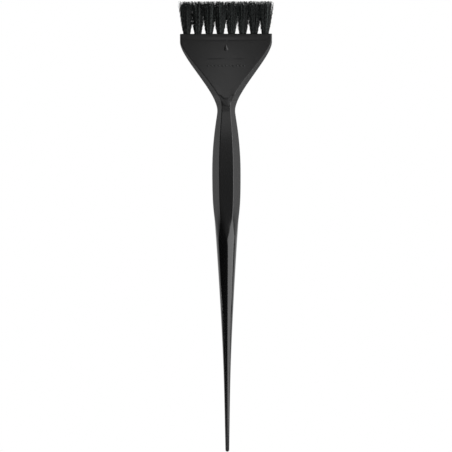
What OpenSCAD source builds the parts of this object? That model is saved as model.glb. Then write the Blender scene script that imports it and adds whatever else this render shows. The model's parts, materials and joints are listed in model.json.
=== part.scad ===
/* [Handle] */
// Length from the tip of the tail to the top edge of the head
handle_l = 209; // [197:1:221]
// Width of the head across its top edge
head_w = 46; // [42:0.5:52]
// Thickness of the head where the tufts are set
head_t = 10; // [9.8:0.1:11]
// Thickness of the head at its heel, where it is thickest
heel_t = 11.4; // [11:0.1:12]
// Width of the neck at its narrowest
neck_w = 8.9; // [7.8:0.1:9.8]
// Thickness of the neck at its thinnest
neck_t = 7.7; // [7.2:0.1:8.6]
// Width of the grip at its widest
grip_w = 14.2; // [13.2:0.1:15]
// Thickness of the grip at its widest
grip_t = 11.2; // [10.4:0.1:12]
// Width of the tail at its top, where the flats of the grip are running out
tail_d = 11.5; // [11:0.1:12]
// Diameter of the tip of the tail
tip_d = 1.9; // [1.5:0.1:2.4]

/* [Bevels] */
// Angle between the flat faces and the bevels beside them
bevel_angle = 53; // [48:1:56]
// Width of the bevel along the lower flank of the head
flank_bevel = 3.1; // [2.6:0.1:3.3]
// Chamfer along the edges of the head at the shoulders
edge_chamfer = 0.35; // [0.25:0.05:0.5]

/* [Tufts] */
// Number of tufts in each row
columns = 8; // [6:1:8]
// Distance between the two rows
row_pitch = 4.5; // [4.4:0.05:4.6]
// Diameter of the blind hole that holds a tuft
hole_d = 3.7; // [3.5:0.05:3.8]
// Depth of the blind hole
hole_depth = 7; // [6.5:0.1:7.5]
// Length of the bristles above the head
bristle_l = 16; // [12:0.5:20]
// Width of one tuft at its tip
tuft_tip_w = 5.8; // [5:0.1:5.8]
// Thickness of one tuft at its tip
tuft_tip_t = 4.6; // [4.2:0.1:4.6]

/* [Anchors] */
// Thickness of the flat anchor wire
wire_t = 0.35; // [0.3:0.05:0.5]
// Height of the anchor along the hole
wire_h = 1.6; // [1.2:0.1:2]
// How far each end of the anchor bites into the wall of its hole
wire_bite = 0.25; // [0.15:0.05:0.3]

/* [Hidden] */
ROWS = ["front", "back"];

// Heights of the places where the outline changes, measured down from the top edge of the head
band_z = handle_l - 3.1;        // lower edge of the slightly tapered band along the top edge
shoulder_z = handle_l - 4;      // where the flanks leave the straight sides
wedge_z = handle_l - 13;        // where the faces of the head begin to lean outwards
heel_z = handle_l - 32.5;       // where the faces of the head end in a rounded heel
neck_z = handle_l - 38.6;
grip_z = handle_l - 69.5;
tail_z = handle_l - 96.3;
flats_end_z = handle_l - 96;    // where the grip's flats begin to run out into the tail
round_end_z = flats_end_z + 20; // where the round body below the grip has taken up its full swell

band_taper = 0.12;              // what each face gives up towards the top edge
wedge_power = 1.6;              // how the lean of each face grows towards the heel
heel_drop = 2.4;                // height above the neck at which the undercut of the heel ends
tail_thinning = 0.25;           // what the grip's half thickness gives up towards the tail
round_swell = 0.08;             // how far the round body stands outside the grip's width
tip_flat = 0.15;                // radius at which the rounded tip is closed
face_share = 0.5;               // width of the grip's flat faces, as a share of its width

// Shape of the outline between those places, as reaches of its curves
flank_reach = [9.6, 7.9];       // up from the neck, down from the shoulder
swell_reach = [17.9, 2.75];     // up from the grip, down from the neck
run_out_reach = [9, 18.4];      // up from the tail, down from the grip
tail_slope = 0.067;             // how fast the radius grows at the top of the tail
tail_belly = [0.29, 0.38];      // heights of the tail curve's two controls, as shares of tail_z
belly_r = 1.68;                 // radius of the lower one

// Rings in each stretch of the handle, and points in each ring
tip_rings = 3;
tail_rings = 14;
run_out_rings = 12;
swell_rings = 8;
flank_rings = 24;
corner_points = 3;
ring_points = 8 * corner_points;
edge_round = 0.15;
unbounded = 1000;

// The sprung root of each row lies on a line at the head's top edge, where a ball seats in each hole
seat_gap = 0.1;
ball_r = hole_d / 2 - seat_gap;
stem_r = ball_r - 0.15;
slice = 0.2;                    // height of the two discs that a free tuft is stretched between
root_gap = 0.3;
root_play = 0.05;
root_r = hole_d / 2 - root_play;
mouth_flare = 0.2;
mouth_depth = 0.3;
wire_lift = 1.2;                // height of the anchor above the floor of its hole
wire_slot_gap = 0.02;
end_margin = 3.4;               // from the head's side to the centre of the last tuft
tuft_pitch = (head_w - 2 * end_margin) / (columns - 1);
fan_step = 0.33;                // what each pitch gains between the head and the tips
fan_pitch = tuft_pitch + fan_step;
row_spread = 0.55;              // how far each row leans away from the other at its tips

function ease(u) = let (v = min(max(u, 0), 1)) v * v * (3 - 2 * v);
function part_way(z, low, high) = min(max((z - low) / (high - low), 0), 1);
function bezier(p, u) =
    pow(1 - u, 3) * p[0] + 3 * pow(1 - u, 2) * u * p[1] + 3 * (1 - u) * u * u * p[2] + pow(u, 3) * p[3];
function bezier_slope(p, u) =
    let (d = pow(1 - u, 2) * (p[1] - p[0]) + 2 * (1 - u) * u * (p[2] - p[1]) + u * u * (p[3] - p[2]))
    d[0] / d[1];

// Outline of the handle, as [half width, height] controls of four curves from the tip upwards
tail_curve = [
    [tip_d / 2, tip_d / 2],
    [belly_r, tail_belly[0] * tail_z],
    [tail_d / 2 - tail_slope * (1 - tail_belly[1]) * tail_z, tail_belly[1] * tail_z],
    [tail_d / 2, tail_z]
];
run_out_curve = [
    [tail_d / 2, tail_z],
    [tail_d / 2 + tail_slope * run_out_reach[0], tail_z + run_out_reach[0]],
    [grip_w / 2, grip_z - run_out_reach[1]],
    [grip_w / 2, grip_z]
];
swell_curve = [
    [grip_w / 2, grip_z],
    [grip_w / 2, grip_z + swell_reach[0]],
    [neck_w / 2, neck_z - swell_reach[1]],
    [neck_w / 2, neck_z]
];
flank_curve = [
    [neck_w / 2, neck_z],
    [neck_w / 2, neck_z + flank_reach[0]],
    [head_w / 2, shoulder_z - flank_reach[1]],
    [head_w / 2, shoulder_z]
];

// Half thickness at a height, given the half width there
function half_t(z, w) =
    z >= band_z ? head_t / 2 - band_taper * part_way(z, band_z, handle_l)
    : z >= heel_z ? head_t / 2 + (heel_t - head_t) / 2 * pow(part_way(z, wedge_z, heel_z), wedge_power)
    : z >= neck_z ? neck_t / 2 + (heel_t - neck_t) / 2 * ease(part_way(z, neck_z + heel_drop, heel_z))
    : z >= grip_z ? neck_t / 2 + (grip_t - neck_t) / 2 * (2 * w - neck_w) / (grip_w - neck_w)
    : grip_t / 2 - tail_thinning * ease(part_way(z, grip_z, flats_end_z));

// Width that the bevel takes from the flat face, as seen from the front
function bevel_w(z, w) =
    let (spread = 1 - pow(1 - part_way(z, shoulder_z, heel_z), 2))
    let (flank = edge_chamfer + (flank_bevel - edge_chamfer) * spread, grip = (1 - face_share) * w)
    z >= heel_z ? flank : z <= neck_z ? grip : grip + (flank - grip) * ease(part_way(z, neck_z, heel_z));

// Radius of the round body that the flats are cut into; it only shows below the grip
function body_r(z, w) =
    z >= grip_z ? unbounded : w * (1 + round_swell * ease(part_way(z, flats_end_z, round_end_z)));

// Corners of the eight-sided section, anticlockwise
function corners(w, f, t, s) =
    [[w, s], [f, t], [-f, t], [-w, s], [-w, -s], [-f, -t], [f, -t], [w, -s]];
function inside(p, r) = p * min(1, r / norm(p));
// Point on the edge from a to b, set back from b, and no further out than the round body
function edge_end(a, b, r) =
    let (u = (b - a) / norm(b - a), along = b * u, foot = b - along * u)
    let (reach = max(sqrt(max(0, r * r - foot * foot)), r * tan(180 / ring_points)))
    inside(foot + min(along - edge_round, reach) * u, r);
function corner(before, at, after, r) =
    let (a = edge_end(before, at, r), c = edge_end(after, at, r))
    let (middle = (a + 2 * at + c) / 4)
    [a, (a + c) / norm(a + c) * min(r, norm(middle)), c];
function section(w, slope, z) =
    let (t = half_t(z, w), b = bevel_w(z, w))
    let (s = t - b * tan(bevel_angle) / sqrt(1 + slope * slope), c = corners(w, w - b, t, s))
    [for (i = [0:7])
        for (p = corner(c[(i + 7) % 8], c[i], c[(i + 1) % 8], body_r(z, w))) [p[0], p[1], z]];

function stretch(curve, n, from = 0) =
    [for (i = [from:n]) let (p = bezier(curve, i / n)) section(p[0], bezier_slope(curve, i / n), p[1])];
function tip_stretch() =
    [for (i = [0:tip_rings - 1])
        let (first = asin(tip_flat * 2 / tip_d), a = first + i * (90 - first) / tip_rings)
        [for (j = [0:ring_points - 1])
            let (q = 360 * (j - 0.5) / ring_points)
            [tip_d / 2 * sin(a) * cos(q), tip_d / 2 * sin(a) * sin(q), tip_d / 2 * (1 - cos(a))]]];

RINGS = concat(
    tip_stretch(),
    stretch(tail_curve, tail_rings),
    stretch(run_out_curve, run_out_rings, 1),
    stretch(swell_curve, swell_rings, 1),
    stretch(flank_curve, flank_rings, 1),
    [for (z = [band_z, handle_l - edge_chamfer]) section(head_w / 2, 0, z)],
    [section(head_w / 2 - edge_chamfer / 2, 0, handle_l)]
);

// Solid skin through rings of equal point counts, closed at both ends
module loft(rings) {
    n = len(rings[0]);
    last = len(rings) - 1;
    polyhedron(
        points = [for (ring = rings) each ring],
        faces = concat(
            [[for (j = [0:n - 1]) j]],
            [for (i = [0:last - 1], j = [0:n - 1], half = [0, 1])
                let (k = (j + 1) % n)
                half == 0 ? [i * n + j, (i + 1) * n + k, i * n + k]
                : [i * n + j, (i + 1) * n + j, (i + 1) * n + k]],
            [[for (j = [n - 1:-1:0]) last * n + j]]
        )
    );
}

// Place of a hole on the head's top edge, and the lean of its axis along the row
function column_x(i) = (i - (columns + 1) / 2) * tuft_pitch;
function row_y(row) = (row == "front" ? -1 : 1) * row_pitch / 2;
function fan_x(i) = column_x(i) * fan_pitch / tuft_pitch;
function fan_angle(i) = atan((fan_x(i) - column_x(i)) / bristle_l);

// Puts its children at the mouth of a hole, with +Z along the hole's axis
module at_hole(row, i) {
    translate([column_x(i), row_y(row), handle_l]) rotate([0, fan_angle(i), 0]) children();
}

module hole() {
    translate([0, 0, -hole_depth]) cylinder(h = hole_depth + 1, d = hole_d, $fn = 32);
    translate([0, 0, -mouth_depth])
        cylinder(h = 2 * mouth_depth, r1 = hole_d / 2, r2 = hole_d / 2 + 2 * mouth_flare, $fn = 32);
}

module anchor_wire(gap = 0) {
    translate([0, 0, wire_lift + wire_h / 2 - hole_depth])
        cube([hole_d + 2 * wire_bite, wire_t + 2 * gap, wire_h + 2 * gap], center = true);
}

module handle() {
    color("#242425") difference() {
        loft(RINGS);
        for (row = ROWS, i = [1:columns]) at_hole(row, i) hole();
    }
}

// Free end of a tuft: a ball seated in the mouth of the hole, and bristles that fan out above it
module tuft(row, i) {
    side = row == "front" ? -1 : 1;
    tip = [fan_x(i) - column_x(i), side * row_spread, bristle_l];
    color("#141a1a") translate([column_x(i), row_y(row), handle_l]) union() {
        sphere(r = ball_r, $fn = 32);
        hull() {
            cylinder(h = slice, r = stem_r, $fn = 24);
            translate(tip - [0, 0, slice]) scale([tuft_tip_w / tuft_tip_t, 1, 1])
                cylinder(h = slice, d = tuft_tip_t, $fn = 24);
        }
    }
}

// Folded root of a tuft, with a window where the anchor passes through the fold
module tuft_root(row, i) {
    root_l = hole_depth - ball_r - root_gap;
    color("#101414") at_hole(row, i) difference() {
        translate([0, 0, root_play - hole_depth]) cylinder(h = root_l - root_play, r = root_r, $fn = 32);
        anchor_wire(wire_slot_gap);
    }
}

module anchors(row) {
    color("#b8bcc0") for (i = [1:columns]) at_hole(row, i) anchor_wire();
}

handle();
for (row = ROWS, i = [1:columns]) {
    tuft(row, i);
    tuft_root(row, i);
}
for (row = ROWS) {
    anchors(row);
}
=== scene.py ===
"""Tint brush: a one-piece moulded handle with two rows of crimped bristle tufts, on a pale floor."""

import json
import math
import random

import bmesh
import bpy
from bpy.props import FloatProperty, FloatVectorProperty, IntProperty, PointerProperty
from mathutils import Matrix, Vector


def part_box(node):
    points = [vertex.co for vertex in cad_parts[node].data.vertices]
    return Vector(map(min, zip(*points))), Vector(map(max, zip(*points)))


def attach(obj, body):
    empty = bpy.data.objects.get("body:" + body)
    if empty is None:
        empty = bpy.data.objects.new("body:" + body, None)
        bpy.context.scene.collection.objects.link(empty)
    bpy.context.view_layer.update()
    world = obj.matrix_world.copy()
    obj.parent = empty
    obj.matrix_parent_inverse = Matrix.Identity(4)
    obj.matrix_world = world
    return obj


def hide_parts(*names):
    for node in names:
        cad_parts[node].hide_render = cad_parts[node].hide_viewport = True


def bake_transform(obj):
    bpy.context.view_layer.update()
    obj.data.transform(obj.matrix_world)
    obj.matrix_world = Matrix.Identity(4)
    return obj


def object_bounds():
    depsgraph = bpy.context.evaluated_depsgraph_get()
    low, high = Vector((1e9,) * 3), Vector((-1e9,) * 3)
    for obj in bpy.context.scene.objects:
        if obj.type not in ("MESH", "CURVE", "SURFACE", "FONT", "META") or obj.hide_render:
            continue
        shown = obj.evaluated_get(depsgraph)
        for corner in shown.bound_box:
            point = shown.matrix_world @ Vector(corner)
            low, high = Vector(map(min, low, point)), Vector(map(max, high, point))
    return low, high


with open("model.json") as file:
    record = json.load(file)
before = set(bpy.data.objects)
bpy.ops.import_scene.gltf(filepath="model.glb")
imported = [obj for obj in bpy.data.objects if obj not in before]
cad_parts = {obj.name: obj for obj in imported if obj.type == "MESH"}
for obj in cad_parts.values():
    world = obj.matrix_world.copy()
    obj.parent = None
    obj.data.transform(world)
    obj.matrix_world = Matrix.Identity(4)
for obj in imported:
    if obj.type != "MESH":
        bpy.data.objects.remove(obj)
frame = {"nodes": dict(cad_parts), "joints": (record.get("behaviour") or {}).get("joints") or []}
CAD_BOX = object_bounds()

bl_info = {
    "name": "Tint Brush",
    "version": (1, 0, 0),
    "blender": (4, 5, 0),
    "location": "View3D > Sidebar > Tint Brush",
    "description": "Builds a hairdresser's tint brush around its packed frame",
    "category": "Object",
}

MM = 0.001
HANDLE_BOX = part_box("handle")
TOP_Z = HANDLE_BOX[1].z
HEAD_HALF_W = HANDLE_BOX[1].x
HEEL_HALF_T = HANDLE_BOX[1].y
BRISTLE_L = CAD_BOX[1].z - TOP_Z
ROWS = ("front", "back")
COLUMNS = sum(name.startswith("tuft_front_") for name in frame["nodes"])
ROW_Y = {
    row: next(j["pos_m"][1] for j in frame["joints"] if j["child"] == f"{row}_row") for row in ROWS
}
END_MARGIN = 3.4 * MM  # from the head's side to the middle of the last tuft


# ---------------------------------------------------------------- sizes and colours to change


class HandleSettings(bpy.types.PropertyGroup):
    """Sizes of the moulded handle that its box doesn't give"""

    head_t: FloatProperty(
        name="Head thickness",
        description="Thickness along the top edge",
        default=10 * MM,
        unit="LENGTH",
    )
    neck_w: FloatProperty(
        name="Neck width",
        description="Width of the neck at its narrowest",
        default=8.9 * MM,
        unit="LENGTH",
    )
    neck_t: FloatProperty(
        name="Neck thickness",
        description="Thickness of the neck",
        default=7.7 * MM,
        unit="LENGTH",
    )
    grip_w: FloatProperty(
        name="Grip width",
        description="Width of the grip at its widest",
        default=14.2 * MM,
        unit="LENGTH",
    )
    grip_t: FloatProperty(
        name="Grip thickness",
        description="Thickness of the grip",
        default=11.2 * MM,
        unit="LENGTH",
    )
    tail_d: FloatProperty(
        name="Tail width",
        description="Width of the tail at its top",
        default=11.5 * MM,
        unit="LENGTH",
    )
    tip_d: FloatProperty(
        name="Tip diameter",
        description="Diameter of the rounded tip",
        default=1.9 * MM,
        unit="LENGTH",
    )
    bevel_angle: FloatProperty(
        name="Bevel angle",
        description="Angle between flats and bevels",
        default=math.radians(53),
        unit="ROTATION",
    )
    edge_r: FloatProperty(
        name="Edge rounding",
        description="Set-back of the rounding on each edge",
        default=0.26 * MM,
        unit="LENGTH",
    )
    colour: FloatVectorProperty(
        name="Plastic",
        description="Colour of the moulded plastic",
        default=(0.003, 0.003, 0.0032),
        subtype="COLOR",
    )


class BristleSettings(bpy.types.PropertyGroup):
    """Filaments of the sixteen tufts"""

    filaments: IntProperty(name="Filaments", description="Filament ends in one tuft", default=190)
    filament_d: FloatProperty(
        name="Filament diameter",
        description="Thickness of one filament",
        default=0.19 * MM,
        unit="LENGTH",
    )
    root_r: FloatProperty(
        name="Bundle radius",
        description="Radius of a tuft at its hole",
        default=1.78 * MM,
        unit="LENGTH",
    )
    crimp_l: FloatProperty(
        name="Crimp length",
        description="Length of one wave of the crimp",
        default=2.3 * MM,
        unit="LENGTH",
    )
    crimp: FloatProperty(
        name="Crimp depth",
        description="Half the depth of the crimp",
        default=0.25 * MM,
        unit="LENGTH",
    )
    splay: FloatProperty(
        name="Splay",
        description="Lean of a tuft's outermost filaments",
        default=math.radians(9.2),
        unit="ROTATION",
    )
    ragged: FloatProperty(
        name="Ragged ends",
        description="Spread of the filaments' lengths",
        default=3.6 * MM,
        unit="LENGTH",
    )
    seed: IntProperty(name="Seed", description="Start of the random draws", default=7)
    colour: FloatVectorProperty(
        name="Filament",
        description="Colour of most filaments",
        default=(0.0013, 0.0024, 0.0023),
        subtype="COLOR",
    )
    pale: FloatVectorProperty(
        name="Pale filament",
        description="Colour of the palest filaments",
        default=(0.075, 0.088, 0.085),
        subtype="COLOR",
    )


class StageSettings(bpy.types.PropertyGroup):
    """Floor, light and camera"""

    floor: FloatVectorProperty(
        name="Floor",
        description="Colour of the floor",
        default=(0.86, 0.86, 0.87),
        subtype="COLOR",
    )
    field_h: FloatProperty(
        name="Field height",
        description="Height that the camera's picture covers",
        default=226 * MM,
        unit="LENGTH",
    )
    softbox: FloatProperty(
        name="Softbox", description="Brightness of the large softbox", default=3.6
    )
    card: FloatProperty(
        name="Card", description="Brightness of the card near the head", default=3.3
    )


# ---------------------------------------------------------------- shader trees


class Wire:
    """A value in a shader tree. Arithmetic on it adds Math nodes."""

    def __init__(self, tree, socket):
        self.tree = tree
        self.socket = socket

    def _math(self, operation, *values):
        return self.tree.node("ShaderNodeMath", {"operation": operation}, dict(enumerate(values)))

    def __add__(self, other):
        return self._math("ADD", self, other)

    def __radd__(self, other):
        return self._math("ADD", other, self)

    def __sub__(self, other):
        return self._math("SUBTRACT", self, other)

    def __rsub__(self, other):
        return self._math("SUBTRACT", other, self)

    def __mul__(self, other):
        return self._math("MULTIPLY", self, other)

    def __rmul__(self, other):
        return self._math("MULTIPLY", other, self)

    def __pow__(self, other):
        return self._math("POWER", self, other)

    def __rpow__(self, other):
        return self._math("POWER", other, self)

    def __abs__(self):
        return self._math("ABSOLUTE", self)

    def between(self, low, high):
        """0 at low, 1 at high, smooth between them."""
        return self.tree.node(
            "ShaderNodeMapRange",
            {"interpolation_type": "SMOOTHSTEP"},
            {"Value": self, "From Min": low, "From Max": high},
        )


class Tree:
    """The shader tree of a material or a world, and the one way to add nodes to it."""

    def __init__(self, owner):
        owner.use_nodes = True
        self.nodes = owner.node_tree.nodes
        self.links = owner.node_tree.links

    def put(self, value, slot):
        """Links a wire to a socket, or sets the socket's own value."""
        if isinstance(value, Wire):
            self.links.new(value.socket, slot)
        elif slot.type == "RGBA":
            slot.default_value = (*value, 1.0)
        else:
            slot.default_value = value

    def node(self, kind, settings=None, values=None, take=(0,)):
        """Adds a node: its settings, then the values or links of its sockets. Gives its outputs."""
        made = self.nodes.new(kind)
        for name, setting in (settings or {}).items():
            setattr(made, name, setting)
        for name, value in (values or {}).items():
            self.put(value, made.inputs[name])
        outputs = [Wire(self, made.outputs[name]) for name in take]
        return outputs[0] if len(outputs) == 1 else outputs

    def split(self, vector):
        return self.node("ShaderNodeSeparateXYZ", values={0: vector}, take="XYZ")


class Finish(Tree):
    """A new material, and short ways to the nodes that its finish is made of."""

    def __init__(self, name):
        self.material = bpy.data.materials.new(name)
        super().__init__(self.material)
        self.shader = self.nodes["Principled BSDF"]

    def place(self):
        return self.node("ShaderNodeTexCoord", take=("Object",))

    def noise(self, vector, scale, detail):
        values = {"Vector": vector, "Scale": scale, "Detail": detail, "Roughness": 0.55}
        return self.node("ShaderNodeTexNoise", values=values, take=("Fac",))

    def drawn_out(self, place, pitches, detail=2.0):
        """Noise that is stretched differently along X, Y and Z."""
        stretched = self.node("ShaderNodeMapping", values={"Vector": place, "Scale": pitches})
        return self.noise(stretched, 1.0, detail)

    def mixed(self, factor, a, b):
        # A colour Mix node keeps its two colours in sockets 6 and 7, and its result in socket 2.
        values = {"Factor": factor, 6: a, 7: b}
        return self.node("ShaderNodeMix", {"data_type": "RGBA"}, values, take=(2,))

    def bump(self, height, strength, distance):
        values = {"Height": height, "Strength": strength, "Distance": distance}
        return self.node("ShaderNodeBump", values=values)

    def dress(self, **values):
        """Sets or links the main shader's sockets."""
        for name, value in values.items():
            self.put(value, self.shader.inputs[name.replace("_", " ")])
        return self.material


def scaled(colour, share):
    return tuple(share * c for c in colour)


def plastic_finish(colour):
    """Black moulded polypropylene: satin head, glossier grip, polished tail."""
    satin_z, polish_z = (0.148, 0.166), (0.098, 0.118)
    roughness, satin, polish = 0.235, 0.085, 0.125
    dust_colour = (0.012, 0.012, 0.0125)
    finish = Finish("black_plastic")
    place = finish.place()
    _x, _y, z = finish.split(place)
    head = z.between(*satin_z)
    tail = 1 - z.between(*polish_z)
    grain = finish.noise(place, 5200.0, detail=2.0)
    cloud = finish.noise(place, 85.0, detail=4.0)
    drawn = finish.drawn_out(place, (2600.0, 2600.0, 55.0))
    scuffs = drawn.between(0.66, 0.8) * cloud.between(0.42, 0.62)
    handled = 0.04 * (cloud - 0.5) * (1 - tail) + 0.07 * scuffs * (1 - tail)
    relief = 0.35 * head * grain - 0.05 * scuffs * (1 - tail)
    dust = finish.noise(place, 1400.0, detail=5.0).between(0.7, 0.82)
    return finish.dress(
        Base_Color=finish.mixed(dust * 0.35, colour, dust_colour),
        Roughness=roughness + satin * head - polish * tail + handled,
        Normal=finish.bump(relief, 0.22, 0.02 * MM),
        IOR=1.49,
    )


def filament_finish(colour, pale):
    """Black nylon filament: each one has its own shade, the outermost ones paler as a painted
    highlight, with darker streaks along it.
    """
    finish = Finish("crimped_nylon")
    shade = finish.node("ShaderNodeAttribute", {"attribute_name": "shade"}, take=("Fac",))
    streak = finish.drawn_out(finish.place(), (9000.0, 9000.0, 900.0))
    own_tone = finish.mixed(shade, colour, pale)
    tone = finish.mixed(streak.between(0.55, 0.8) * 0.35, own_tone, scaled(colour, 0.4))
    return finish.dress(Base_Color=tone, Roughness=0.3 + 0.25 * streak, IOR=1.37)


def folded_bundle_finish(colour):
    """Side of a bundle of filaments bent double: fine lines along the bundle, painted lighter and
    darker as highlight and shade on its strands.
    """
    finish = Finish("folded_bundle")
    strands = finish.drawn_out(finish.place(), (7000.0, 7000.0, 160.0))
    lit = strands.between(0.35, 0.7)
    return finish.dress(
        Base_Color=finish.mixed(lit, scaled(colour, 0.35), scaled(colour, 2.2)),
        Roughness=0.42 + 0.2 * strands,
        Normal=finish.bump(strands, 0.8, 0.1 * MM),
    )


def wire_finish():
    """Plain drawn flat wire, with fine lines along its length."""
    dull, bright = (0.46, 0.45, 0.43), (0.68, 0.67, 0.64)
    finish = Finish("drawn_wire")
    lines = finish.drawn_out(finish.place(), (400.0, 9000.0, 9000.0), detail=3.0)
    return finish.dress(
        Base_Color=finish.mixed(lines.between(0.35, 0.75), dull, bright),
        Metallic=1.0,
        Roughness=0.28 + 0.22 * lines,
        Normal=finish.bump(lines, 0.5, 0.02 * MM),
    )


# ---------------------------------------------------------------- curves and mesh helpers


def ease(u):
    v = min(max(u, 0.0), 1.0)
    return v * v * (3 - 2 * v)


def part_way(z, low, high):
    return min(max((z - low) / (high - low), 0.0), 1.0)


def bezier(curve, u):
    a, b, c, d = curve
    return a * (1 - u) ** 3 + 3 * b * u * (1 - u) ** 2 + 3 * c * u * u * (1 - u) + d * u**3


def bezier_slope(curve, u):
    a, b, c, d = curve
    along = (b - a) * (1 - u) ** 2 + (c - b) * 2 * u * (1 - u) + (d - c) * u * u
    return along.x / along.y


def column_x(i):
    """Middle of a column of tufts."""
    low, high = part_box("tuft_root_front_1")[0].x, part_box(f"tuft_root_front_{COLUMNS}")[1].x
    pitch = (2 * HEAD_HALF_W - 2 * END_MARGIN) / (COLUMNS - 1)
    return (i - (COLUMNS + 1) / 2) * pitch + (low + high) / 2


def keep(bm, name, material):
    """Turns a finished bmesh into an object with its place in its mesh."""
    mesh = bpy.data.meshes.new(name)
    bmesh.ops.recalc_face_normals(bm, faces=bm.faces)
    bm.to_mesh(mesh)
    bm.free()
    mesh.materials.append(material)
    mesh.shade_smooth()
    piece = bpy.data.objects.new(name, mesh)
    bpy.context.scene.collection.objects.link(piece)
    return piece


def only(kind, parts):
    return [part for part in parts if isinstance(part, kind)]


def loop_edges(bm, ring):
    return [bm.edges.get((a, b)) for a, b in zip(ring, ring[1:] + ring[:1])]


def pull_ring(bm, ring, points):
    """Extrudes a closed loop of vertices to the next ring of points."""
    grown = bmesh.ops.extrude_edge_only(bm, edges=loop_edges(bm, ring))["geom"]
    fresh = set(only(bmesh.types.BMVert, grown))
    following = [
        next(e.other_vert(v) for e in v.link_edges if e.other_vert(v) in fresh) for v in ring
    ]
    for v, point in zip(following, points):
        v.co = point
    return following


# ---------------------------------------------------------------- the handle


class HandleShape:
    """Outline and sections of the handle, in metres, from the same few sizes as its frame."""

    # Heights of the places where the outline or the section changes
    BAND = TOP_Z - 3.1 * MM
    SHOULDER = TOP_Z - 4 * MM
    WEDGE = TOP_Z - 13 * MM
    HEEL = TOP_Z - 32.5 * MM
    NECK = TOP_Z - 38.6 * MM
    GRIP = TOP_Z - 69.5 * MM
    TAIL = TOP_Z - 96.3 * MM
    FLATS_END = TOP_Z - 96 * MM
    ROUND_END = FLATS_END + 20 * MM  # where the round body has taken up its full swell
    OVAL_START = GRIP - 16 * MM  # from here down the section turns into an oval
    OVAL_END = GRIP - 36 * MM

    # Sizes of the section
    BAND_TAPER = 0.12 * MM
    WEDGE_POWER = 1.6
    HEEL_DROP = 2.4 * MM
    TAIL_THINNING = 0.25 * MM
    ROUND_SWELL = 0.08
    FLANK_BEVEL = 3.1 * MM
    CHAMFER = 0.35 * MM
    FACE_SHARE = 0.5  # width of the grip's flat faces, as a share of its width
    ARCH = 2.2 * MM  # rise of the heel's rounded end at the sides of each face
    ARCH_RUN = 3 * MM  # how far above the heel the arch stays whole
    UNBOUNDED = 1.0
    INSET_SHARE = 0.4  # how much of an inset each end of a bevel follows, to keep its angle

    # Rounding of the section's edges, and the holding strip beside it that keeps the faces flat
    RING_STEP = math.radians(2.4)
    MOST_ROUNDING, MOST_HOLD = 0.28, 0.15  # the most that they take of a short edge
    CLOSE_HOLD = 0.6
    SAME_WAY = 1e-6  # below this angle two directions count as one

    # How far the outline's curves reach from the places that they join
    FLANK_REACH = (9.6 * MM, 7.9 * MM)
    SWELL_REACH = (17.9 * MM, 2.75 * MM)
    RUN_OUT_REACH = (9 * MM, 18.4 * MM)
    TAIL_SLOPE = 0.067
    TAIL_BELLY = (0.29, 0.38)
    BELLY_R = 1.68 * MM

    # Rings along each curve, and the fine detail of the moulding
    STEPS = {"tail": 60, "run_out": 72, "swell": 40, "flank": 72}
    TIP_STEPS = 8
    LIP_STEPS = 4
    FLAT_STEPS = 8
    LIP = 0.3 * MM  # rounding around the top edge
    CREASE, CREASE_REACH = 0.05 * MM, 0.12 * MM  # line along the lower edge of the band
    SEAM, SEAM_RISE = 0.07 * MM, 0.025 * MM  # half width and height of the mould's parting line
    SEAM_FULL_R = 4 * MM  # the parting line narrows where the tail is thinner than this
    SEAM_HOLD = 1.25  # where the flat side beside it is held, in half widths

    def __init__(self, settings):
        self.s = settings

    def curves(self):
        """Half width and height along the outline, as four cubic curves from the tip upwards."""
        s = self.s
        tip, tail, grip = s.tip_d / 2, s.tail_d / 2, s.grip_w / 2
        neck, head = s.neck_w / 2, HEAD_HALF_W
        low_belly, high_belly = self.TAIL_BELLY
        points = {
            "tail": (
                (tip, tip),
                (self.BELLY_R, low_belly * self.TAIL),
                (tail - self.TAIL_SLOPE * (1 - high_belly) * self.TAIL, high_belly * self.TAIL),
                (tail, self.TAIL),
            ),
            "run_out": (
                (tail, self.TAIL),
                (tail + self.TAIL_SLOPE * self.RUN_OUT_REACH[0], self.TAIL + self.RUN_OUT_REACH[0]),
                (grip, self.GRIP - self.RUN_OUT_REACH[1]),
                (grip, self.GRIP),
            ),
            "swell": (
                (grip, self.GRIP),
                (grip, self.GRIP + self.SWELL_REACH[0]),
                (neck, self.NECK - self.SWELL_REACH[1]),
                (neck, self.NECK),
            ),
            "flank": (
                (neck, self.NECK),
                (neck, self.NECK + self.FLANK_REACH[0]),
                (head, self.SHOULDER - self.FLANK_REACH[1]),
                (head, self.SHOULDER),
            ),
        }
        return {name: [Vector(p) for p in curve] for name, curve in points.items()}

    def half_t(self, z, w):
        """Half thickness at a height, given the half width there."""
        s = self.s
        head, neck, grip = s.head_t / 2, s.neck_t / 2, s.grip_t / 2
        if z >= self.BAND:
            return head - self.BAND_TAPER * part_way(z, self.BAND, TOP_Z)
        if z >= self.HEEL:
            lean = part_way(z, self.WEDGE, self.HEEL) ** self.WEDGE_POWER
            return head + (HEEL_HALF_T - head) * lean
        if z >= self.NECK:
            return neck + (HEEL_HALF_T - neck) * ease(
                part_way(z, self.NECK + self.HEEL_DROP, self.HEEL)
            )
        if z >= self.GRIP:
            return neck + (grip - neck) * (2 * w - s.neck_w) / (s.grip_w - s.neck_w)
        return grip - self.TAIL_THINNING * ease(part_way(z, self.GRIP, self.FLATS_END))

    def bevel_w(self, z, w):
        """Width that the bevel takes from a flat face, as seen from the front."""
        spread = 1 - (1 - part_way(z, self.SHOULDER, self.HEEL)) ** 2
        flank = self.CHAMFER + (self.FLANK_BEVEL - self.CHAMFER) * spread
        grip = (1 - self.FACE_SHARE) * w
        if z >= self.HEEL:
            return flank
        return grip + (flank - grip) * ease(part_way(z, self.NECK, self.HEEL))

    def arch(self, z):
        """How much higher the rounded heel of each face ends at its sides than in its middle."""
        fade_in = ease(part_way(z, self.NECK, self.HEEL))
        fade_out = 1 - ease(part_way(z, self.HEEL + self.ARCH_RUN, self.WEDGE))
        return self.ARCH * fade_in * fade_out

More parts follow.
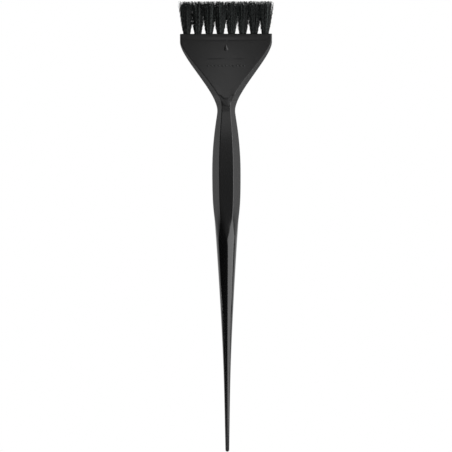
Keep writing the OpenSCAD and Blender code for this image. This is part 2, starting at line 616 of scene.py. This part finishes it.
    def body_r(self, z, w):
        """Radius of the round body that the flats are cut into; it only shows below the grip."""
        if z >= self.GRIP:
            return self.UNBOUNDED
        return w * (1 + self.ROUND_SWELL * ease(part_way(z, self.FLATS_END, self.ROUND_END)))

    def edge_points(self, start, end, r):
        """A holding point and an end point near `end`, no further out than the round body."""
        way = end - start
        length = way.length
        way.normalize()
        along = end.dot(way)
        foot = end - along * way
        chord = math.sqrt(max(0.0, r * r - foot.length_squared))
        reach = max(chord, r * math.tan(self.RING_STEP))
        rounding = min(self.s.edge_r, self.MOST_ROUNDING * length)
        hold = min(self.s.edge_r / 2, self.MOST_HOLD * length)
        stop = min(along - rounding, reach)
        near = reach - hold if reach > 4 * hold else self.CLOSE_HOLD * reach
        held = min(along - rounding - hold, near)
        return [p * min(1.0, r / p.length) for p in (foot + held * way, foot + stop * way)]

    def corner(self, before, at, after, r):
        """Points around one rounded corner of the section, with a holding point at each side."""
        hold_a, a = self.edge_points(before, at, r)
        hold_c, c = self.edge_points(after, at, r)
        arc = []
        for u in (0.25, 0.5, 0.75):
            sharp = a * (1 - u) ** 2 + at * 2 * u * (1 - u) + c * u * u
            way = a.slerp(c, u) if a.angle(c) > self.SAME_WAY else a.copy()
            way.normalize()
            arc.append(way * min(r, sharp.length))
        return [hold_a, a, *arc, c, hold_c]

    def ring(self, z, w, slope, inset=0.0):
        """One closed section, anticlockwise from the middle of the +X side."""
        bevel = self.bevel_w(z, w)
        t = self.half_t(z - self.arch(z), w)
        side = t - bevel * math.tan(self.s.bevel_angle) / math.sqrt(1 + slope * slope)
        r = self.body_r(z, w)
        f, side = w - bevel - self.INSET_SHARE * inset, side - self.INSET_SHARE * inset
        out, t = w - inset, t - inset
        quarter = [(out, side), (f, t), (-f, t), (-out, side)]
        corners = [Vector(p) for p in quarter + [(-x, -y) for x, y in quarter]]
        rounded = [
            self.corner(corners[i - 1], at, corners[(i + 1) % 8], r)
            for i, at in enumerate(corners)
        ]
        points = []
        for i, group in enumerate(rounded):
            if i in (0, 4):
                points += self.parting(out if i == 0 else -out, r)
            if i in (2, 6):
                points += self.flat(rounded[i - 1][-1], group[0], z, w, f, r, inset)
            points += group
        fading = ease(part_way(-z, -self.OVAL_START, -self.OVAL_END))
        oval = min(w, self.half_t(z, w))
        for p in points:
            p *= 1 + fading * (1 / math.hypot(p.x / w, p.y / oval) - 1)
        return [Vector((p.x, p.y, z)) for p in points]

    def flat(self, start, end, z, w, f, r, inset):
        """Points across a front or back face, which follow the arch of its heel."""
        turn = 1 if start.y > 0 else -1
        points = []
        for k in range(1, self.FLAT_STEPS):
            x = start.x + (end.x - start.x) * k / self.FLAT_STEPS
            half_t = self.half_t(z - self.arch(z) * (x / f) ** 2, w)
            p = Vector((x, turn * (half_t - inset)))
            points.append(p * min(1.0, r / p.length))
        return points

    def parting(self, w, r):
        """The faint line that the two halves of the mould leave along each side."""
        turn = 1 if w > 0 else -1
        reach = min(abs(w), r)
        half = self.SEAM * min(1.0, reach / self.SEAM_FULL_R)
        hold = self.SEAM_HOLD * half
        profile = (
            (-hold, 0.0),
            (-half, 0.0),
            (0.0, self.SEAM_RISE),
            (half, 0.0),
            (hold, 0.0),
        )
        return [Vector((turn * (reach + out), turn * across)) for across, out in profile]

    def rings(self):
        """Every section of the handle, from the tip of the tail to its top edge."""
        curves = self.curves()
        first = curves["tail"][0]
        tip_ring = self.ring(first.y, first.x, 0.0)
        rings = []
        for k in range(1, self.TIP_STEPS):
            a = math.radians(90 * k / self.TIP_STEPS)
            z = first.y * (1 - math.cos(a))
            rings.append([Vector((p.x * math.sin(a), p.y * math.sin(a), z)) for p in tip_ring])
        rings.append(tip_ring)
        for name, curve in curves.items():
            for k in range(1, self.STEPS[name] + 1):
                u = k / self.STEPS[name]
                p = bezier(curve, u)
                rings.append(self.ring(p.y, p.x, bezier_slope(curve, u)))
        for offset, inset in ((-1, 0.0), (0, self.CREASE), (1, 0.0)):
            z = self.BAND + offset * self.CREASE_REACH
            rings.append(self.ring(z, HEAD_HALF_W, 0.0, inset))
        for k in range(self.LIP_STEPS + 1):
            a = math.radians(90 * k / self.LIP_STEPS)
            z = TOP_Z - self.LIP * (1 - math.sin(a))
            rings.append(self.ring(z, HEAD_HALF_W, 0.0, self.LIP * (1 - math.cos(a))))
        return rings


class TINT_BRUSH_OT_handle(bpy.types.Operator):
    """Make the moulded handle with its sixteen holes"""

    bl_idname = "tint_brush.handle"
    bl_label = "Handle"
    bl_options = {"REGISTER", "UNDO"}

    def execute(self, context):
        settings = context.scene.tint_brush_handle
        rings = HandleShape(settings).rings()
        bm = bmesh.new()
        ring = bmesh.ops.create_circle(bm, segments=len(rings[0]), radius=MM)["verts"]
        for v, point in zip(ring, rings[0]):
            v.co = point
        bmesh.ops.contextual_create(bm, geom=loop_edges(bm, ring))
        for points in rings[1:]:
            ring = pull_ring(bm, ring, points)
        self.close_top(bm, ring)
        piece = keep(bm, "moulded_handle", plastic_finish(settings.colour[:]))
        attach(piece, "handle")
        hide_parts("handle")
        return {"FINISHED"}

    def close_top(self, bm, rim):
        """Fills the top edge around the holes, then sinks each hole with its flared mouth."""
        mouth, bore, flare, depth = 2.05 * MM, 1.85 * MM, 0.3 * MM, 6.9 * MM
        edges = loop_edges(bm, rim)
        mouths = []
        for x, y in [(column_x(i), ROW_Y[row]) for row in ROWS for i in range(1, COLUMNS + 1)]:
            ring = list(bmesh.ops.create_circle(bm, segments=32, radius=mouth)["verts"])
            bmesh.ops.translate(bm, verts=ring, vec=(x, y, TOP_Z))
            mouths.append((ring, x, y))
            edges += loop_edges(bm, ring)
        bmesh.ops.triangle_fill(bm, edges=edges, use_beauty=True)
        for ring, x, y in mouths:
            for z in (TOP_Z - flare, TOP_Z - depth):
                outward = [(v.co - Vector((x, y, v.co.z))).normalized() for v in ring]
                ring = pull_ring(bm, ring, [Vector((x, y, z)) + way * bore for way in outward])
            bmesh.ops.contextual_create(bm, geom=loop_edges(bm, ring))


class TINT_BRUSH_OT_motif(bpy.types.Operator):
    """Make the plain raised decoration on the front of the head"""

    bl_idname = "tint_brush.motif"
    bl_label = "Raised motif"
    bl_options = {"REGISTER", "UNDO"}

    RELIEF, SUNK, SOFTENED = 0.11 * MM, 0.2 * MM, 0.08 * MM
    DROP_Z, BAR_Z, PIPS_Z = 201.6 * MM, 196.4 * MM, 193.0 * MM
    DROP_R, BAR_L, BAR_H = 1.25 * MM, 19 * MM, 0.9 * MM
    PIPS, PIP_PITCH, PIP_D = 11, 1.8 * MM, 0.9 * MM
    GATE_X, GATE_D = 0.25 * MM, 0.7 * MM  # nib left by the mould's gate, on the line of the band

    def execute(self, context):
        shape = HandleShape(context.scene.tint_brush_handle)
        bm = bmesh.new()
        self.drop(bm, shape, self.DROP_Z, self.DROP_R)
        self.bar(bm, shape, 0.0, self.BAR_Z, self.BAR_L, self.BAR_H)
        for k in range(self.PIPS):
            x = (k - (self.PIPS - 1) / 2) * self.PIP_PITCH
            self.bar(bm, shape, x, self.PIPS_Z, self.PIP_D, self.PIP_D)
        self.bar(bm, shape, self.GATE_X, shape.BAND, self.GATE_D, self.GATE_D)
        piece = keep(bm, "moulded_motif", bpy.data.materials["black_plastic"])
        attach(piece, "handle")
        return {"FINISHED"}

    def stand(self, bm, verts, shape):
        """Presses a flat outline into relief on the front face, with a softened edge."""
        face = bmesh.ops.contextual_create(bm, geom=loop_edges(bm, verts))["faces"]
        grown = bmesh.ops.extrude_face_region(bm, geom=face)["geom"]
        for v in only(bmesh.types.BMVert, grown):
            v.co.y = -shape.half_t(v.co.z, HEAD_HALF_W) - self.RELIEF
        for v in verts:
            v.co.y = -shape.half_t(v.co.z, HEAD_HALF_W) + self.SUNK
        bmesh.ops.bevel(
            bm,
            geom=only(bmesh.types.BMEdge, grown),
            offset=self.SOFTENED,
            segments=2,
            profile=0.5,
            affect="EDGES",
            material=-1,
        )

    def drop(self, bm, shape, z, r):
        """A falling drop: a circle drawn out to a soft point at the top."""
        pinch, pinch_power, pull, pull_power = 0.75, 1.4, 0.9, 3
        verts = list(bmesh.ops.create_circle(bm, segments=40, radius=r)["verts"])
        for v in verts:
            high = (v.co.y / r + 1) / 2
            x = v.co.x * (1 - pinch * high**pinch_power)
            v.co = Vector((x, 0.0, z + v.co.y + r * pull * high**pull_power))
        self.stand(bm, verts, shape)

    def bar(self, bm, shape, x, z, length, height):
        """A slim lozenge with round ends that swells in the middle."""
        blunt = 0.8
        verts = list(bmesh.ops.create_circle(bm, segments=32, radius=1.0)["verts"])
        for v in verts:
            across = math.copysign(abs(v.co.x) ** blunt, v.co.x)
            v.co = Vector((x + across * length / 2, 0.0, z + v.co.y * height / 2))
        self.stand(bm, verts, shape)


# ---------------------------------------------------------------- the tufts


class TINT_BRUSH_OT_tufts(bpy.types.Operator):
    """Make the sixteen tufts of crimped filament"""

    bl_idname = "tint_brush.tufts"
    bl_label = "Tufts"
    bl_options = {"REGISTER", "UNDO"}

    SEGMENTS = 32  # lengths in one filament, enough for four to each wave of its crimp
    BEND_START, BEND_END = -3 * MM, 9 * MM  # the part of a tuft that bends, from the top edge
    UPRIGHT = Vector((0.0, 0.0, 1.0))

    # Slopes of a whole tuft: the same for all, more for the outermost, and away from the other row
    LEAN, FAN, PARTED = 0.009, 0.016, 0.012

    # The bundle at the hole
    SUNK = 1.6 * MM  # how far the filaments go down into the hole
    GOLDEN_TURN = math.pi * (3 - math.sqrt(5))  # spreads their feet evenly
    TURN_PLAY = 0.3
    CROWDING = 0.6  # over a half draws the feet towards the middle of the bundle
    BULK, BULK_H = 0.12, 6 * MM  # how much the bundle swells above the hole, and by what height

    # The splay of one filament
    SPLAY_LEAST, SPLAY_MORE, SPLAY_POWER = 0.3, 0.85, 1.4
    SPLAY_ACROSS = 0.5  # front to back, as a share of that along the row
    STRAY_ALONG, STRAY_ACROSS = 0.02, 0.012
    LOOSE_SHARE, WILDNESS, LOOSE_SHORTER = 0.1, 2.2, 2 * MM

    # Its length, crimp and thickness
    SPARE_L, RAGGED_POWER = 0.3 * MM, 1.3
    CLUMP, CLUMP_PITCH = 0.16 * MM, 1.9 * MM
    WAVE_RANGE, CRIMP_RANGE, THICKNESS_RANGE = (0.85, 1.2), (0.6, 1.35), (0.8, 1.15)
    CRIMP_ACROSS = 0.6
    CRIMP_FROM = 3 * MM  # the crimp grows to its full depth over this height
    TAPER, TAPER_POWER = 0.35, 6

    # Its shade: a few are pale all through at random, and the outermost are a little paler as a
    # painted highlight, for the light they catch from behind
    PALE_POWER, RUBBED, RUBBED_POWER, RUBBED_FROM = 7, 0.5, 3, 0.7

    def execute(self, context):
        settings = context.scene.tint_brush_bristles
        material = filament_finish(settings.colour[:], settings.pale[:])
        for row in ROWS:
            for i in range(1, COLUMNS + 1):
                draw = random.Random(settings.seed * 1000 + 100 * ROWS.index(row) + i)
                self.tuft(settings, draw, row, i, material)
        return {"FINISHED"}

    def tuft(self, settings, draw, row, i, material):
        bm = bmesh.new()
        shade = bm.verts.layers.float.new("shade")
        blank = self.blank_filament(bm)
        foot = Vector((column_x(i), ROW_Y[row], TOP_Z))
        along = self.LEAN + self.FAN * foot.x / HEAD_HALF_W
        across = math.copysign(self.PARTED, foot.y)
        for k in range(settings.filaments):
            copy = bmesh.ops.duplicate(bm, geom=blank)["geom"]
            verts = only(bmesh.types.BMVert, copy)
            self.lay(settings, draw, verts, shade, foot, (along, across), k)
        bmesh.ops.delete(bm, geom=only(bmesh.types.BMVert, blank), context="VERTS")
        piece = keep(bm, f"bristles_{row}_{i}", material)
        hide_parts(f"tuft_{row}_{i}")
        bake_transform(piece)

    def blank_filament(self, bm):
        """A straight three-sided filament of unit height, to be copied and bent."""
        ring = bmesh.ops.create_circle(bm, segments=3, radius=1.0)["verts"]
        bmesh.ops.contextual_create(bm, geom=loop_edges(bm, ring))
        for k in range(self.SEGMENTS):
            z = (k + 1) / self.SEGMENTS
            ring = pull_ring(bm, ring, [Vector((v.co.x, v.co.y, z)) for v in ring])
        bmesh.ops.contextual_create(bm, geom=loop_edges(bm, ring))
        return bm.verts[:] + bm.edges[:] + bm.faces[:]

    def lay(self, settings, draw, verts, shade, foot, lean, k):
        """Bends one filament: spread from the hole, splayed, crimped, and cut a little ragged."""
        share = ((k + 0.5) / settings.filaments) ** self.CROWDING
        turn = k * self.GOLDEN_TURN + draw.uniform(-self.TURN_PLAY, self.TURN_PLAY)
        root = Vector((math.cos(turn), math.sin(turn))) * share * settings.root_r
        loose = draw.random() < self.LOOSE_SHARE
        wild = self.WILDNESS if loose else 1.0
        own_splay = self.SPLAY_LEAST + self.SPLAY_MORE * draw.random() ** self.SPLAY_POWER
        reach = math.tan(settings.splay) * share * own_splay
        reach_x, reach_y = reach * math.cos(turn), self.SPLAY_ACROSS * reach * math.sin(turn)
        slope_x = lean[0] + (reach_x + draw.gauss(0, self.STRAY_ALONG) * wild)
        slope_y = lean[1] + (reach_y + draw.gauss(0, self.STRAY_ACROSS) * wild)
        clump = math.sin(2 * math.pi * (foot.x + 2 * root.x) / self.CLUMP_PITCH)
        shortfall = draw.random() ** self.RAGGED_POWER * settings.ragged
        length = BRISTLE_L + self.SPARE_L + self.CLUMP * clump - shortfall
        length -= draw.uniform(0, self.LOOSE_SHORTER) if loose else 0
        crimp_turn = draw.uniform(0, 2 * math.pi)
        phase = draw.uniform(0, 2 * math.pi)
        wave = settings.crimp_l * draw.uniform(*self.WAVE_RANGE)
        depth = settings.crimp * draw.uniform(*self.CRIMP_RANGE)
        r = settings.filament_d / 2 * draw.uniform(*self.THICKNESS_RANGE)
        pale = draw.random() ** self.PALE_POWER
        outermost = ease((share - self.RUBBED_FROM) / (1 - self.RUBBED_FROM))
        # painted highlight: the outermost filaments of a tuft are made paler, as if lit from behind
        # through the gaps
        painted_backlight = self.RUBBED * draw.random() ** self.RUBBED_POWER * outermost
        for v in verts:
            u = v.co.z
            h = u * (length + self.SUNK) - self.SUNK
            free = max(h, 0.0)
            bulk = 1 + self.BULK * ease(h / self.BULK_H)
            sway = depth * math.sin(2 * math.pi * h / wave + phase) * ease(h / self.CRIMP_FROM)
            sway_x = sway * math.cos(crimp_turn)
            sway_y = self.CRIMP_ACROSS * sway * math.sin(crimp_turn)
            taper = r * (1 - self.TAPER * u**self.TAPER_POWER)
            x = root.x * bulk + slope_x * free + sway_x + v.co.x * taper
            y = root.y * bulk + slope_y * free + sway_y + v.co.y * taper
            # each filament takes its random pale tone or its painted highlight, whichever is paler
            v[shade] = max(pale, painted_backlight)
            v.co = foot + Vector((x, y, h))


class TINT_BRUSH_OT_fixings(bpy.types.Operator):
    """Finish the folded tuft roots and the wire anchors that hold them"""

    bl_idname = "tint_brush.fixings"
    bl_label = "Roots and anchors"
    bl_options = {"REGISTER", "UNDO"}

    def execute(self, context):
        finishes = {
            "tuft_root_": folded_bundle_finish(context.scene.tint_brush_bristles.colour[:]),
            "anchors_": wire_finish(),
        }
        for name, node in frame["nodes"].items():
            for start, material in finishes.items():
                if name.startswith(start):
                    for slot in node.material_slots:
                        slot.material = material
        return {"FINISHED"}


# ---------------------------------------------------------------- the stage


class TINT_BRUSH_OT_stage(bpy.types.Operator):
    """Set the floor, the soft light and the camera"""

    bl_idname = "tint_brush.stage"
    bl_label = "Stage"
    bl_options = {"REGISTER", "UNDO"}

    def execute(self, context):
        scene = context.scene
        settings = scene.tint_brush_stage
        self.floor(settings)
        self.surroundings(scene)
        self.softbox(settings.softbox)
        self.near_card(settings.card)
        self.camera(scene, settings.field_h)
        scene.view_settings.view_transform = "Standard"
        return {"FINISHED"}

    def floor(self, settings):
        """A pale disc that fades out towards its rim."""
        radius, fade_start, fade_end = 0.7, 0.16, 0.55
        bm = bmesh.new()
        bmesh.ops.create_circle(bm, cap_ends=True, segments=96, radius=radius)
        finish = Finish("floor")
        x, y, _z = finish.split(finish.place())
        far = (x * x + y * y) ** 0.5
        finish.dress(Base_Color=settings.floor[:], Roughness=0.9, Specular_IOR_Level=0.1)
        solid = Wire(finish, finish.shader.outputs[0])
        clear = finish.node("ShaderNodeBsdfTransparent")
        faded = {0: far.between(fade_start, fade_end), 1: solid, 2: clear}
        surface = finish.node("ShaderNodeMixShader", values=faded)
        finish.put(surface, finish.nodes["Material Output"].inputs["Surface"])
        piece = keep(bm, "floor", finish.material)

    def surroundings(self, scene):
        """Bright behind the brush, brighter above the camera than below it, white to the camera."""
        world = bpy.data.worlds.new("surroundings")
        scene.world = world
        tree = Tree(world)
        tree.nodes.clear()
        x, y, z = tree.split(tree.node("ShaderNodeTexCoord", take=("Generated",)))
        behind = y.between(0.02, 0.3)
        ahead = 1 - abs(x).between(0.06, 0.26)
        above = z.between(-0.065, -0.02)
        rear_level, rear_tilt = 1.21, 0.05
        dim, lit, side_share = 0.033, 0.35, 0.15
        rear = rear_level + rear_tilt * x
        front = dim + lit * above * (side_share + (1 - side_share) * ahead)
        level = behind * rear + (1 - behind) * front
        white = (1.0, 1.0, 1.0)
        light = tree.node("ShaderNodeBackground", values={"Color": white, "Strength": level})
        seen = tree.node("ShaderNodeBackground", values={"Color": white})
        by_camera = tree.node("ShaderNodeLightPath", take=("Is Camera Ray",))
        mix = tree.node("ShaderNodeMixShader", values={0: by_camera, 1: light, 2: seen})
        tree.node("ShaderNodeOutputWorld", values={"Surface": mix}, take=())

    def softbox(self, brightness):
        """The large light to the right of the camera, turned towards the middle of the brush."""
        azimuth, elevation, distance = math.radians(52), math.radians(3), 0.8
        size = (1.08, 0.8)
        middle = Vector((0, 0, (CAD_BOX[0].z + CAD_BOX[1].z) / 2))
        level = math.cos(elevation)
        away = Vector(
            (math.sin(azimuth) * level, -math.cos(azimuth) * level, math.sin(elevation))
        )
        self.area_light("right_softbox", brightness, size, middle + away * distance, -away)

    def near_card(self, brightness):
        """A small card close in front of the head, which lifts the lower part of its face."""
        size, place, towards = (0.01, 0.022), Vector((0, -0.09, 0.1888)), Vector((0, 1, 0))
        self.area_light("near_card", brightness, size, place, towards)

    def area_light(self, name, brightness, size, place, direction):
        """A rectangle of even brightness, whatever its size."""
        data = bpy.data.lights.new(name, "AREA")
        data.shape = "RECTANGLE"
        data.size, data.size_y = size
        data.energy = brightness * math.pi * size[0] * size[1]
        light = bpy.data.objects.new(name, data)
        light.location = place
        light.rotation_euler = direction.to_track_quat("-Z", "Y").to_euler()
        light.visible_camera = False
        bpy.context.scene.collection.objects.link(light)

    def camera(self, scene, field_h):
        """Square to the front of the brush, without perspective, and turned by a hair."""
        left, distance, lowered, roll = 0.3 * MM, 0.9, 0.15 * MM, math.radians(0.19)
        data = bpy.data.cameras.new("camera")
        data.type = "ORTHO"
        data.ortho_scale = field_h
        data.clip_start, data.clip_end = 0.01, 10.0
        camera = bpy.data.objects.new("camera", data)
        camera.location = (-left, -distance, field_h / 2 - lowered)
        camera.rotation_euler = (math.radians(90), roll, 0)
        scene.collection.objects.link(camera)
        scene.camera = camera


# ---------------------------------------------------------------- panel and registration


OPERATORS = (
    TINT_BRUSH_OT_stage,
    TINT_BRUSH_OT_handle,
    TINT_BRUSH_OT_motif,
    TINT_BRUSH_OT_tufts,
    TINT_BRUSH_OT_fixings,
)
SETTINGS = {
    "tint_brush_handle": HandleSettings,
    "tint_brush_bristles": BristleSettings,
    "tint_brush_stage": StageSettings,
}


class VIEW3D_PT_tint_brush(bpy.types.Panel):
    """Buttons that build the brush, and the sizes and colours they use"""

    bl_idname = "VIEW3D_PT_tint_brush"
    bl_label = "Tint Brush"
    bl_space_type = "VIEW_3D"
    bl_region_type = "UI"
    bl_category = "Tint Brush"

    def draw(self, context):
        for operator in OPERATORS:
            self.layout.operator(operator.bl_idname)
        for name, group in SETTINGS.items():
            box = self.layout.box()
            for prop in group.__annotations__:
                box.prop(getattr(context.scene, name), prop)


CLASSES = (*SETTINGS.values(), *OPERATORS, VIEW3D_PT_tint_brush)


def register():
    for cls in CLASSES:
        bpy.utils.register_class(cls)
    for name, group in SETTINGS.items():
        setattr(bpy.types.Scene, name, PointerProperty(type=group))


def unregister():
    for name in SETTINGS:
        delattr(bpy.types.Scene, name)
    for cls in reversed(CLASSES):
        bpy.utils.unregister_class(cls)


def main():
    register()
    bpy.ops.tint_brush.stage()
    bpy.ops.tint_brush.handle()
    bpy.ops.tint_brush.motif()
    bpy.ops.tint_brush.tufts()
    bpy.ops.tint_brush.fixings()


if __name__ == "__main__":
    main()
